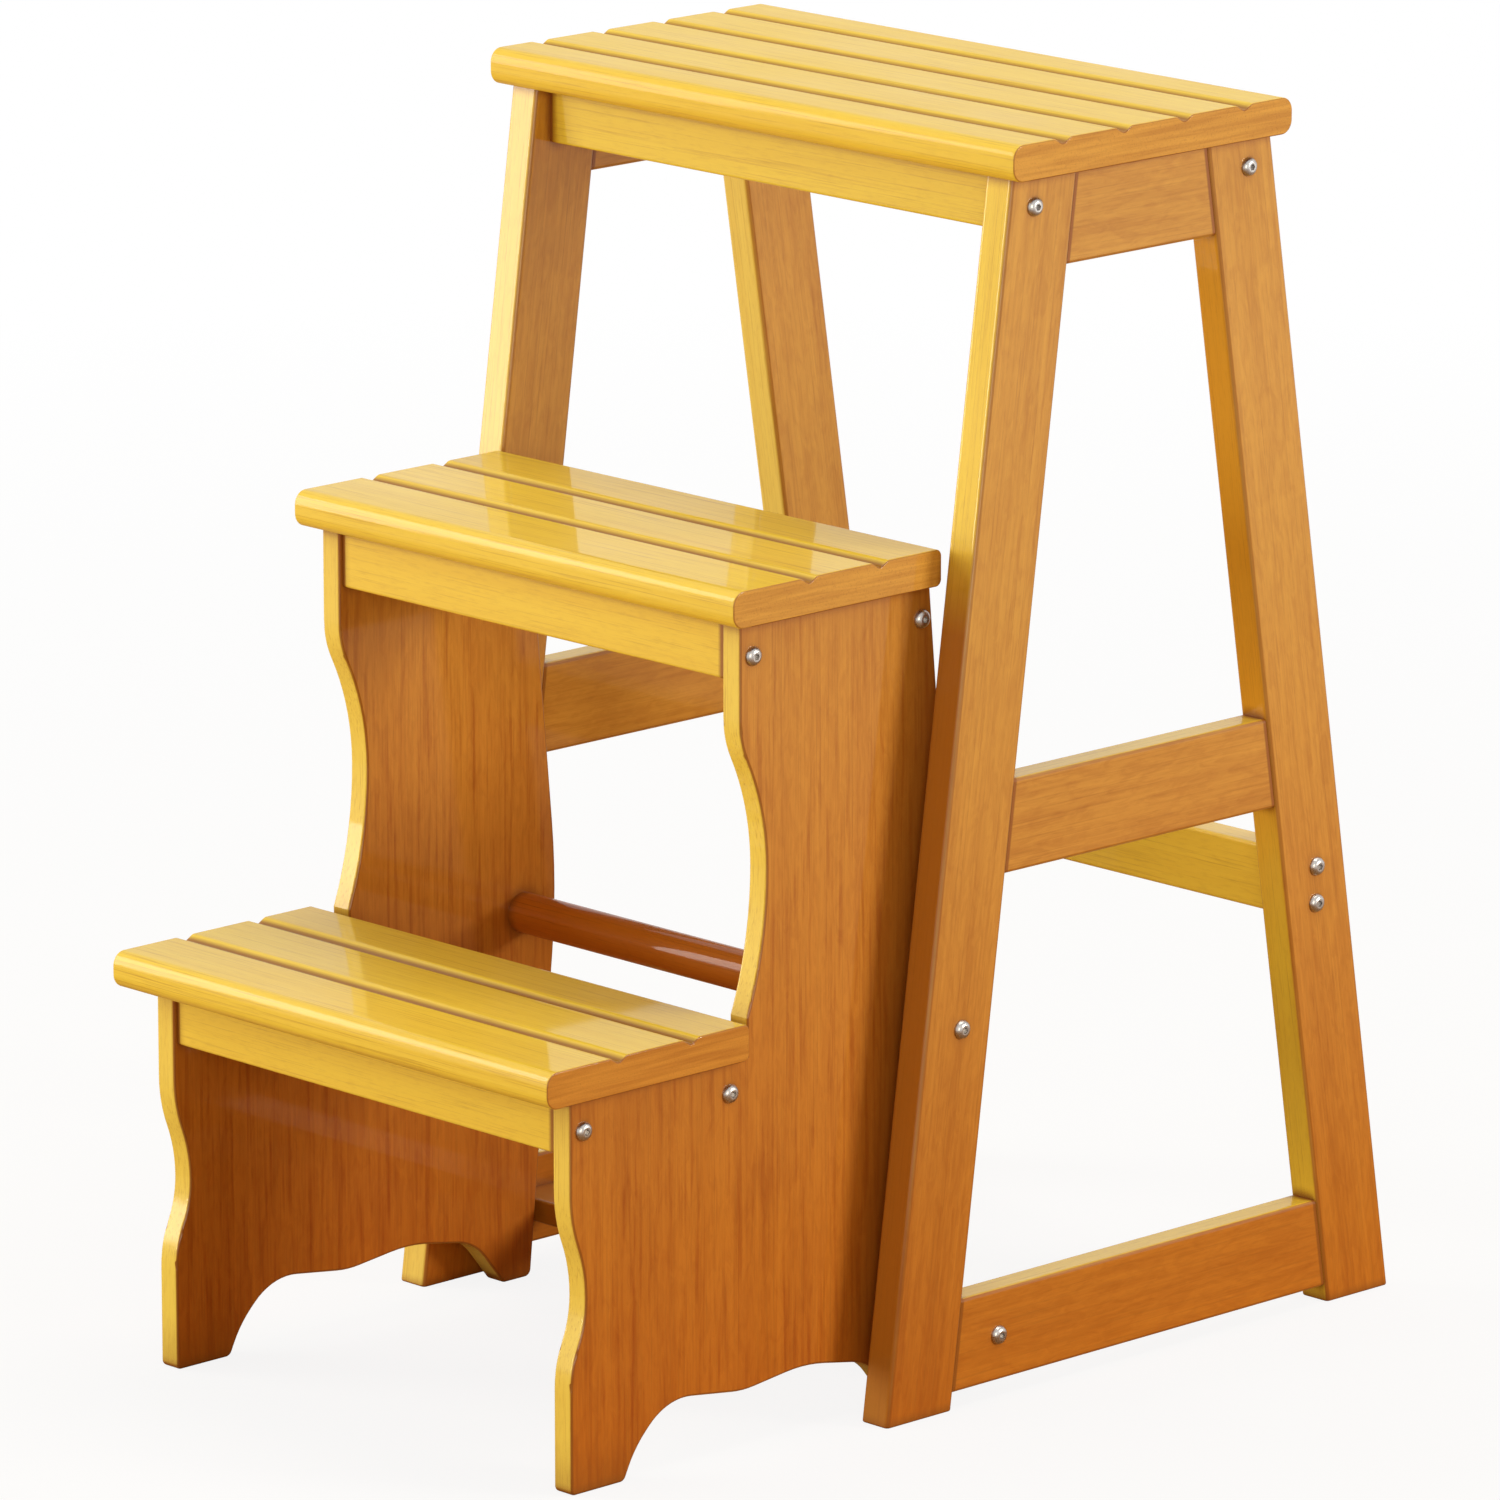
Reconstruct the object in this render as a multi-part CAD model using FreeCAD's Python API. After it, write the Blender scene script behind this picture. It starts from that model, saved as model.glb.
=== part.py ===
import FreeCAD, Part
import math
import os

# Folding step stool chair in solid wood: a grooved seat board on four splayed legs,
# and a two-tread step unit that swings on a bolt through each front leg.
# Millimetres. X points right, Y from the steps to the back, Z up.
# The origin is on the floor, in the middle of the footprint, with the steps open.

Vector = FreeCAD.Vector
ALONG_X = Vector(1, 0, 0)
CENTRE = Vector(0, 0, 0)

# Seat and overall sizes
SEAT_TOP = 630.0
SEAT_DEPTH = 194.8
SEAT_WIDTH = 372.0
SEAT_SIDE_OVERHANG = 8.0
SEAT_FRONT_OVERHANG = 7.3
SEAT_BACK_OVERHANG = 6.2

# Boards of the seat and the treads
BOARD_THICKNESS = 18.5
NOSE_RADIUS = 7.0
TREAD_BACK_RADIUS = 3.5
BOARD_END_RADIUS = 0.8
GROOVE_HALF_WIDTH = 5.3
GROOVE_DEPTH = 3.2
GROOVE_SHOULDER_RADIUS = 4.0
GROOVE_FLOOR_RADIUS = 3.0
SEAT_GROOVE_COUNT = 4
SEAT_GROOVE_PITCH = 42.3
TREAD_GROOVE_COUNT = 2
TREAD_GROOVE_PITCH = 47.7
MIDDLE_TREAD_FIRST_GROOVE = 50.5
LOWER_TREAD_FIRST_GROOVE = 46.8

# Legs, leaning apart towards the floor
LEG_THICKNESS = 18.5
LEG_WIDTH = 44.8
FRONT_LEG_LEAN = 7.68
BACK_LEG_LEAN = 8.97
LEG_EDGE_RADIUS = 2.5
FOOT_EDGE_RADIUS = 1.0

# Rails that join the front and back leg of each side
RAIL_THICKNESS = 16.0
RAIL_HEIGHT = 47.0
RAIL_EDGE_RADIUS = 2.0
MIDDLE_RAIL_BOTTOM = 266.4
BOTTOM_RAIL_BOTTOM = 8.4

# Cross pieces of the frame
SEAT_APRON_THICKNESS = 12.0
SEAT_APRON_HEIGHT = 28.2
SEAT_APRON_INSET = 16.5
STRETCHER_THICKNESS = 18.0
STRETCHER_HEIGHT = 33.8
STRETCHER_BOTTOM = 204.9
CROSS_BAR_DEPTH = 30.0
CROSS_BAR_THICKNESS = 12.5
CROSS_BAR_GAP = 5.0
APRON_EDGE_RADIUS = 1.5

# Pivot of the step unit
PIVOT_HEIGHT = 193.7
PIVOT_SETBACK = 1.8
PIVOT_DOWEL_DIAMETER = 21.0
PIVOT_BOLT_RADIUS = 3.0
PIVOT_BOLT_REACH = 20.0
PIVOT_INSERT_RADIUS = 5.0
PIVOT_INSERT_LENGTH = 15.0
PIVOT_SPACER_RADIUS = 7.5
RUNNING_CLEARANCE = 0.05

# Treads and the panels under them
MIDDLE_TREAD_DEPTH = 140.0
LOWER_TREAD_DEPTH = 133.2
TREAD_SIDE_CLEARANCE = 1.7
MIDDLE_TREAD_TOP = 430.5
LOWER_TREAD_TOP = 216.0
MIDDLE_TREAD_BACK_OFFSET = 5.1
LOWER_TREAD_BACK_REACH = 124.3
MIDDLE_TREAD_NOSE = 11.5
LOWER_TREAD_NOSE = 21.8
PANEL_THICKNESS = 12.5
PANEL_TO_LEG_GAP = 9.25
PANEL_EDGE_RADIUS = 1.5
PANEL_TO_TREAD_GAP = 5.7

# Shaped front edge of a panel, below the lower tread
CORNER_RADIUS = 1.0
TOE_RADIUS = 3.0
OGEE_INSET = 9.9
OGEE_BOTTOM = 52.0
OGEE_WAIST = 97.0
OGEE_TOP = 150.0

# Shaped front edge of a panel, between the treads
WAIST_INSET = 13.1
WAIST_HEIGHT = 288.0
WAIST_UPPER_RADIUS = 125.0
SHOULDER_RADIUS = 46.0

# Back edge of a panel, bent at the pivot's height
PANEL_BACK_AT_TOP = 4.9
PANEL_BACK_AT_BELLY = 24.3
PANEL_BACK_AT_FLOOR = 4.2
BELLY_HEIGHT = 203.0
BELLY_RADIUS = 365.0
HEEL_RADIUS = 4.0

# Feet of a panel and the waved arch between them
TOE_LENGTH = 35.2
HEEL_LENGTH = 19.2
ARCH_HEIGHT = 33.3
ARCH_DIP = 4.8
FOOT_CORNER_RADIUS = 4.0

# Aprons under the treads
STEP_APRON_THICKNESS = 12.0
STEP_APRON_HEIGHT = 29.6
FRONT_APRON_RECESS = 2.6

# Domed screws with a hexagon socket
SCREW_RADIUS = 2.5
SCREW_HEAD_RADIUS = 4.75
SCREW_HEAD_HEIGHT = 2.8
SCREW_HEAD_RIM = 0.5
SCREW_HEAD_FLAT_RADIUS = 2.4
HEAD_BULGE_SPREAD = 0.62
HEAD_BULGE_RISE = 0.76
SCREW_TIP_LENGTH = 4.0
SOCKET_WIDTH = 3.0
SOCKET_DEPTH = 1.9
SCREW_GRIP = 30.0
SEAT_SCREW_DROP = 14.9
STEP_SCREW_DROP = 16.7
STRETCHER_SCREW_SPACING = 19.1

# Wooden dowels hidden in the joints
RAIL_DOWEL_RADIUS = 4.0
RAIL_DOWEL_LENGTH = 30.0
RAIL_DOWEL_SPACING = 22.0
BOARD_DOWEL_RADIUS = 3.0
BOARD_DOWEL_LENGTH = 24.0
DOWEL_CHAMFER = 1.0
SEAT_APRON_DOWEL_SPACING = 160.0
SEAT_DOWEL_TO_RAIL_DOWEL = 8.0
TREAD_DOWEL_INSET = 45.0
HOLE_CLEARANCE = 0.05
HOLE_EXTRA_DEPTH = 0.3

# Shortest piece of outline that is drawn, and the share of its full radius that an arc
# gets where it meets another arc, so that the two never overlap
TOLERANCE = 1e-6
ARC_SLACK = 0.995

# Planes across the stool
SEAT_HALF_WIDTH = SEAT_WIDTH / 2
LEG_OUTER = SEAT_HALF_WIDTH - SEAT_SIDE_OVERHANG
LEG_INNER = LEG_OUTER - LEG_THICKNESS
LEG_MIDDLE = (LEG_OUTER + LEG_INNER) / 2
RAIL_OUTER = LEG_MIDDLE + RAIL_THICKNESS / 2
RAIL_INNER = LEG_MIDDLE - RAIL_THICKNESS / 2
PANEL_OUTER = LEG_INNER - PANEL_TO_LEG_GAP
PANEL_INNER = PANEL_OUTER - PANEL_THICKNESS
PANEL_MIDDLE = (PANEL_OUTER + PANEL_INNER) / 2
TREAD_HALF_WIDTH = LEG_INNER - TREAD_SIDE_CLEARANCE

# Heights
LEG_TOP = SEAT_TOP - BOARD_THICKNESS
TOP_RAIL_BOTTOM = LEG_TOP - RAIL_HEIGHT
MIDDLE_TREAD_UNDERSIDE = MIDDLE_TREAD_TOP - BOARD_THICKNESS
LOWER_TREAD_UNDERSIDE = LOWER_TREAD_TOP - BOARD_THICKNESS
CROSS_BAR_MIDDLE = BOTTOM_RAIL_BOTTOM + RAIL_HEIGHT / 2
STRETCHER_MIDDLE = STRETCHER_BOTTOM + STRETCHER_HEIGHT / 2

# Slope of each leg and its width measured level
FRONT_SLOPE = math.tan(math.radians(FRONT_LEG_LEAN))
BACK_SLOPE = math.tan(math.radians(BACK_LEG_LEAN))
FRONT_HALF_WIDTH = LEG_WIDTH / math.cos(math.radians(FRONT_LEG_LEAN)) / 2
BACK_HALF_WIDTH = LEG_WIDTH / math.cos(math.radians(BACK_LEG_LEAN)) / 2


def front_leg_middle(z):
    """Y of the middle line of the front legs at height z, from the seat's front edge."""
    return SEAT_FRONT_OVERHANG + FRONT_HALF_WIDTH - FRONT_SLOPE * (LEG_TOP - z)


def back_leg_middle(z):
    """Y of the middle line of the back legs at height z, from the seat's front edge."""
    return SEAT_DEPTH - SEAT_BACK_OVERHANG - BACK_HALF_WIDTH + BACK_SLOPE * (LEG_TOP - z)


# Positions along the depth, from the seat's front edge
PIVOT_Y = front_leg_middle(PIVOT_HEIGHT) + PIVOT_SETBACK
MIDDLE_TREAD_BACK = PIVOT_Y + MIDDLE_TREAD_BACK_OFFSET
MIDDLE_TREAD_FRONT = MIDDLE_TREAD_BACK - MIDDLE_TREAD_DEPTH
LOWER_TREAD_BACK = PIVOT_Y - LOWER_TREAD_BACK_REACH
LOWER_TREAD_FRONT = LOWER_TREAD_BACK - LOWER_TREAD_DEPTH
PANEL_TOP_FRONT = MIDDLE_TREAD_FRONT + MIDDLE_TREAD_NOSE
PANEL_LOWER_FRONT = LOWER_TREAD_FRONT + LOWER_TREAD_NOSE
PANEL_RISER = LOWER_TREAD_BACK + PANEL_TO_TREAD_GAP
PANEL_TOP_BACK = PIVOT_Y + PANEL_BACK_AT_TOP
PANEL_HEEL = PIVOT_Y + PANEL_BACK_AT_FLOOR
PANEL_BELLY = PIVOT_Y + PANEL_BACK_AT_BELLY
STRETCHER_Y = back_leg_middle(STRETCHER_MIDDLE)
FRONT_APRON_Y = SEAT_APRON_INSET + SEAT_APRON_THICKNESS / 2
BACK_APRON_Y = SEAT_DEPTH - SEAT_APRON_INSET - SEAT_APRON_THICKNESS / 2
BACK_HEEL = back_leg_middle(0) + BACK_HALF_WIDTH
FOOTPRINT_MIDDLE = (LOWER_TREAD_FRONT + BACK_HEEL) / 2

# The cross bar stays a set gap behind the widest part of the panels beside it
CROSS_BAR_TOP = CROSS_BAR_MIDDLE + CROSS_BAR_THICKNESS / 2
HEEL_SLOPE = (PANEL_BELLY - PANEL_HEEL) / BELLY_HEIGHT
CROSS_BAR_FRONT = PANEL_HEEL + HEEL_SLOPE * CROSS_BAR_TOP + CROSS_BAR_GAP
CROSS_BAR_Y = CROSS_BAR_FRONT + CROSS_BAR_DEPTH / 2

# Middle lines of the aprons under the treads
MIDDLE_FRONT_APRON_Y = PANEL_TOP_FRONT + FRONT_APRON_RECESS + STEP_APRON_THICKNESS / 2
MIDDLE_BACK_APRON_Y = PANEL_TOP_BACK - STEP_APRON_THICKNESS / 2
LOWER_FRONT_APRON_Y = PANEL_LOWER_FRONT + FRONT_APRON_RECESS + STEP_APRON_THICKNESS / 2
LOWER_BACK_APRON_Y = LOWER_TREAD_BACK - STEP_APRON_THICKNESS / 2


def corner_arc(before, corner, after, radius):
    """Start, middle and end of the arc that rounds a corner between two neighbours."""
    if radius == 0:
        return corner, corner, corner
    to_before = (before - corner).normalize()
    to_after = (after - corner).normalize()
    half_angle = to_before.getAngle(to_after) / 2
    reach = radius / math.tan(half_angle)
    to_centre = (to_before + to_after).normalize()
    depth = radius / math.sin(half_angle) - radius
    return corner + to_before * reach, corner + to_centre * depth, corner + to_after * reach


def rounded_face(corners):
    """Face in the YZ plane from corners given as (y, z, radius of the rounding)."""
    points = [Vector(0, y, z) for y, z, radius in corners]
    arcs = []
    for index, corner in enumerate(points):
        following = points[(index + 1) % len(points)]
        arcs.append(corner_arc(points[index - 1], corner, following, corners[index][2]))
    edges = []
    for index, (start, middle, end) in enumerate(arcs):
        last_end = arcs[index - 1][2]
        if last_end.distanceToPoint(start) > TOLERANCE:
            edges.append(Part.makeLine(last_end, start))
        if start.distanceToPoint(end) > TOLERANCE:
            edges.append(Part.Arc(start, middle, end).toShape())
    return Part.Face(Part.Wire(edges))


def slab(corners, x_from, x_to):
    """Solid with the given side outline between two planes across the stool."""
    face = rounded_face(corners)
    face.translate(ALONG_X * x_from)
    return face.extrude(ALONG_X * (x_to - x_from))


def soften(solid, radius, is_softened):
    """Round the edges of a solid that the given test picks."""
    return solid.makeFillet(radius, [edge for edge in solid.Edges if is_softened(edge)])


def is_long(length):
    """Test for edges longer than a length."""
    return lambda edge: edge.Length > length


def is_at_ends(edge):
    """Test for edges that lie in one plane across the stool."""
    return edge.BoundBox.XLength < TOLERANCE * 100


def is_on_floor(edge):
    """Test for edges that lie on the floor."""
    return edge.BoundBox.ZMax < TOLERANCE * 100


def cut_all(solid, tools):
    """The solid less each of the tools."""
    for tool in tools:
        solid = solid.cut(tool)
    return solid


def mirrored(shape):
    """The same shape on the other side of the stool."""
    return shape.mirror(CENTRE, ALONG_X)


def both_sides(shapes):
    """The shapes and their mirror images."""
    return shapes + [mirrored(shape) for shape in shapes]


def bar(y_middle, z_middle, y_size, z_size, x_end, radius):
    """Straight bar across the stool with softened long edges."""
    corner = Vector(-x_end, y_middle - y_size / 2, z_middle - z_size / 2)
    solid = Part.makeBox(2 * x_end, y_size, z_size, corner)
    return soften(solid, radius, is_long(x_end))


def grooved_board(front, back, back_radius, top, half_width, grooves, pitch, first):
    """Board with rounded nose and back edge and V grooves along its upper face."""
    under = top - BOARD_THICKNESS
    corners = [(front, under, NOSE_RADIUS), (back, under, back_radius), (back, top, back_radius)]
    for number in reversed(range(grooves)):
        middle = front + first + number * pitch
        corners.append((middle + GROOVE_HALF_WIDTH, top, GROOVE_SHOULDER_RADIUS))
        corners.append((middle, top - GROOVE_DEPTH, GROOVE_FLOOR_RADIUS))
        corners.append((middle - GROOVE_HALF_WIDTH, top, GROOVE_SHOULDER_RADIUS))
    corners.append((front, top, NOSE_RADIUS))
    board = slab(corners, -half_width, half_width)
    return soften(board, BOARD_END_RADIUS, is_at_ends)


def leg(middle_line, half_width):
    """Right-hand leg that follows a middle line, cut level at the floor and the seat."""
    corners = []
    for z, side in ((0, -1), (0, 1), (LEG_TOP, 1), (LEG_TOP, -1)):
        corners.append((middle_line(z) + side * half_width, z, 0))
    solid = slab(corners, LEG_INNER, LEG_OUTER)
    solid = soften(solid, LEG_EDGE_RADIUS, is_long(2 * LEG_WIDTH))
    return soften(solid, FOOT_EDGE_RADIUS, is_on_floor)


def rail_ends(z):
    """Y where the rails start and stop at height z, on the faces of the legs."""
    return front_leg_middle(z) + FRONT_HALF_WIDTH, back_leg_middle(z) - BACK_HALF_WIDTH


def side_rail(bottom):
    """Right-hand rail between the front and back leg, its ends cut to their lean."""
    top = bottom + RAIL_HEIGHT
    low_front, low_back = rail_ends(bottom)
    high_front, high_back = rail_ends(top)
    corners = [(low_front, bottom, 0), (low_back, bottom, 0), (high_back, top, 0), (high_front, top, 0)]
    solid = slab(corners, RAIL_INNER, RAIL_OUTER)
    return soften(solid, RAIL_EDGE_RADIUS, is_long(1.5 * RAIL_HEIGHT))


def ogee_corners(y_from, z_from, y_to, z_to, radius_share):
    """Two rounded corners of an S-curve between two upright edges."""
    inset = abs(y_to - y_from)
    rise = z_to - z_from
    radii_sum = (rise ** 2 + inset ** 2) / (2 * inset)
    half_turn = math.tan(math.asin(rise / radii_sum) / 2)
    first_radius = radii_sum * radius_share
    second_radius = radii_sum - first_radius
    first = (y_from, z_from + first_radius * half_turn, first_radius * ARC_SLACK)
    second = (y_to, z_to - second_radius * half_turn, second_radius * ARC_SLACK)
    return [first, second]


def front_edge_corners():
    """Corners of a panel's front edge from the toe up to the lower tread."""
    waist = PANEL_LOWER_FRONT + OGEE_INSET
    corners = [(PANEL_LOWER_FRONT, 0, TOE_RADIUS)]
    corners += ogee_corners(PANEL_LOWER_FRONT, OGEE_BOTTOM, waist, OGEE_WAIST, 0.5)
    corners += ogee_corners(waist, OGEE_WAIST, PANEL_LOWER_FRONT, OGEE_TOP, 0.5)
    corners.append((PANEL_LOWER_FRONT, LOWER_TREAD_UNDERSIDE, CORNER_RADIUS))
    return corners


def waist_corners():
    """Corners of a panel's front edge from the lower tread up to the middle tread."""
    waist = PANEL_RISER + WAIST_INSET
    drop = WAIST_HEIGHT - LOWER_TREAD_TOP
    # the arc that leaves the tread's back edge and is upright at the waist
    lower_radius = (drop ** 2 + WAIST_INSET ** 2) / (2 * WAIST_INSET)
    half_turn = math.asin(drop / lower_radius) / 2
    lower_corner = WAIST_HEIGHT - lower_radius * math.tan(half_turn)
    inset = waist - PANEL_TOP_FRONT
    radii_sum = WAIST_UPPER_RADIUS + SHOULDER_RADIUS
    rise = math.sqrt(radii_sum ** 2 - (radii_sum - inset) ** 2)
    share = WAIST_UPPER_RADIUS / radii_sum
    corners = [(PANEL_RISER, LOWER_TREAD_UNDERSIDE, 0), (PANEL_RISER, LOWER_TREAD_TOP, 0)]
    corners.append((waist, lower_corner, lower_radius))
    corners += ogee_corners(waist, WAIST_HEIGHT, PANEL_TOP_FRONT, WAIST_HEIGHT + rise, share)
    return corners


def arch_corners():
    """Corners of the waved arch between a panel's heel and toe, from the heel on."""
    heel_end = PANEL_HEEL - HEEL_LENGTH
    toe_end = PANEL_LOWER_FRONT + TOE_LENGTH
    span = heel_end - toe_end
    # share of the span from the heel, share of the arch height, rounding radius
    wave = (
        (0.108, 0.76, 30.0),
        (0.342, 1.00, 90.0),
        (0.571, 1 - ARCH_DIP / ARCH_HEIGHT, 60.0),
        (0.845, 1.07, 34.0),
        (0.961, 0.45, 55.0),
    )
    corners = [(heel_end, 0, FOOT_CORNER_RADIUS)]
    for along, up, radius in wave:
        corners.append((heel_end - along * span, up * ARCH_HEIGHT, radius))
    corners.append((toe_end, 0, FOOT_CORNER_RADIUS))
    return corners


def panel_corners():
    """Whole side outline of a step panel."""
    corners = front_edge_corners()
    corners += waist_corners()
    corners.append((PANEL_TOP_FRONT, MIDDLE_TREAD_UNDERSIDE, CORNER_RADIUS))
    corners.append((PANEL_TOP_BACK, MIDDLE_TREAD_UNDERSIDE, CORNER_RADIUS))
    corners.append((PANEL_BELLY, BELLY_HEIGHT, BELLY_RADIUS))
    corners.append((PANEL_HEEL, 0, HEEL_RADIUS))
    corners += arch_corners()
    return corners


def step_panel():
    """Right-hand step panel with softened edges all round."""
    solid = slab(panel_corners(), PANEL_INNER, PANEL_OUTER)
    return soften(solid, PANEL_EDGE_RADIUS, is_at_ends)


def rod(radius, length, start, direction):
    """Round rod from a start point along a direction."""
    return Part.makeCylinder(radius, length, start, direction)


def screw(outer_face, y, z, length, radius, head_radius):
    """Right-hand screw: domed head with a hexagon socket, and a shank towards the middle."""
    rim = Vector(SCREW_HEAD_RIM, 0, head_radius)
    crown = Vector(SCREW_HEAD_HEIGHT, 0, SCREW_HEAD_FLAT_RADIUS)
    bulge_radius = SCREW_HEAD_FLAT_RADIUS + (head_radius - SCREW_HEAD_FLAT_RADIUS) * HEAD_BULGE_SPREAD
    bulge = Vector(SCREW_HEAD_HEIGHT * HEAD_BULGE_RISE, 0, bulge_radius)
    start = Vector(-length, 0, 0)
    shoulder = Vector(SCREW_TIP_LENGTH - length, 0, radius)
    neck = Vector(0, 0, radius)
    brim = Vector(0, 0, head_radius)
    edges = [Part.makePolygon([start, shoulder, neck, brim, rim])]
    edges.append(Part.Arc(rim, bulge, crown).toShape())
    edges.append(Part.makePolygon([crown, Vector(SCREW_HEAD_HEIGHT, 0, 0), start]))
    outline = Part.Wire([edge for wire in edges for edge in wire.Edges])
    solid = Part.Face(outline).revolve(CENTRE, ALONG_X, 360)
    corner_reach = SOCKET_WIDTH / math.sqrt(3)
    hexagon = []
    for number in range(7):
        turn = math.radians(60 * number)
        corner_y = corner_reach * math.cos(turn)
        corner_z = corner_reach * math.sin(turn)
        hexagon.append(Vector(SCREW_HEAD_HEIGHT, corner_y, corner_z))
    socket = Part.Face(Part.makePolygon(hexagon)).extrude(ALONG_X * -SOCKET_DEPTH)
    solid = solid.cut(socket)
    solid.translate(Vector(outer_face, y, z))
    return solid


def screw_hole(outer_face, y, z, length, radius):
    """Hole that takes a screw's shank, a little longer than the shank."""
    start = Vector(outer_face, y, z)
    return rod(radius + HOLE_CLEARANCE, length + HOLE_EXTRA_DEPTH, start, ALONG_X * -1)


def dowel(radius, length, middle, direction):
    """Wooden dowel with chamfered ends, set across a joint."""
    solid = rod(radius, length, middle - direction * (length / 2), direction)
    rims = [edge for edge in solid.Edges if edge.Length < 7 * radius and edge.Closed]
    return solid.makeChamfer(DOWEL_CHAMFER, rims)


def dowel_hole(radius, length, middle, direction):
    """Hole in both pieces of a joint for one dowel."""
    full = length + 2 * HOLE_EXTRA_DEPTH
    return rod(radius + HOLE_CLEARANCE, full, middle - direction * (full / 2), direction)


def rail_dowel_places(bottom):
    """Middles of the dowels at both ends of a right-hand rail."""
    places = []
    for side in (-1, 1):
        z = bottom + RAIL_HEIGHT / 2 + side * RAIL_DOWEL_SPACING / 2
        for y in rail_ends(z):
            places.append(Vector(LEG_MIDDLE, y, z))
    return places


def seat_dowel_places():
    """Middles of the dowels under the seat, in the top rails and the aprons."""
    rail_front, rail_back = rail_ends(LEG_TOP)
    inset = RAIL_DOWEL_LENGTH / 2 + SEAT_DOWEL_TO_RAIL_DOWEL
    places = []
    for side in (-1, 1):
        for y in (rail_front + inset, rail_back - inset):
            places.append(Vector(side * LEG_MIDDLE, y, LEG_TOP))
        for y in (FRONT_APRON_Y, BACK_APRON_Y):
            places.append(Vector(side * SEAT_APRON_DOWEL_SPACING / 2, y, LEG_TOP))
    return places


def tread_dowel_places(front, back, under):
    """Middles of the dowels between one tread and both panels."""
    places = []
    for y in (front + TREAD_DOWEL_INSET, back - TREAD_DOWEL_INSET):
        places += [Vector(PANEL_MIDDLE, y, under), Vector(-PANEL_MIDDLE, y, under)]
    return places


def dowel_set(radius, length, places, direction):
    """All dowels of one kind, and the holes for them."""
    dowels = [dowel(radius, length, place, direction) for place in places]
    holes = [dowel_hole(radius, length, place, direction) for place in places]
    return dowels, holes


def screw_set(outer_face, places, through):
    """Screws of both sides at the (y, z) places, and the holes for them."""
    length = through + SCREW_GRIP
    screws = [screw(outer_face, y, z, length, SCREW_RADIUS, SCREW_HEAD_RADIUS) for y, z in places]
    holes = [screw_hole(outer_face, y, z, length, SCREW_RADIUS) for y, z in places]
    return both_sides(screws), both_sides(holes)


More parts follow.
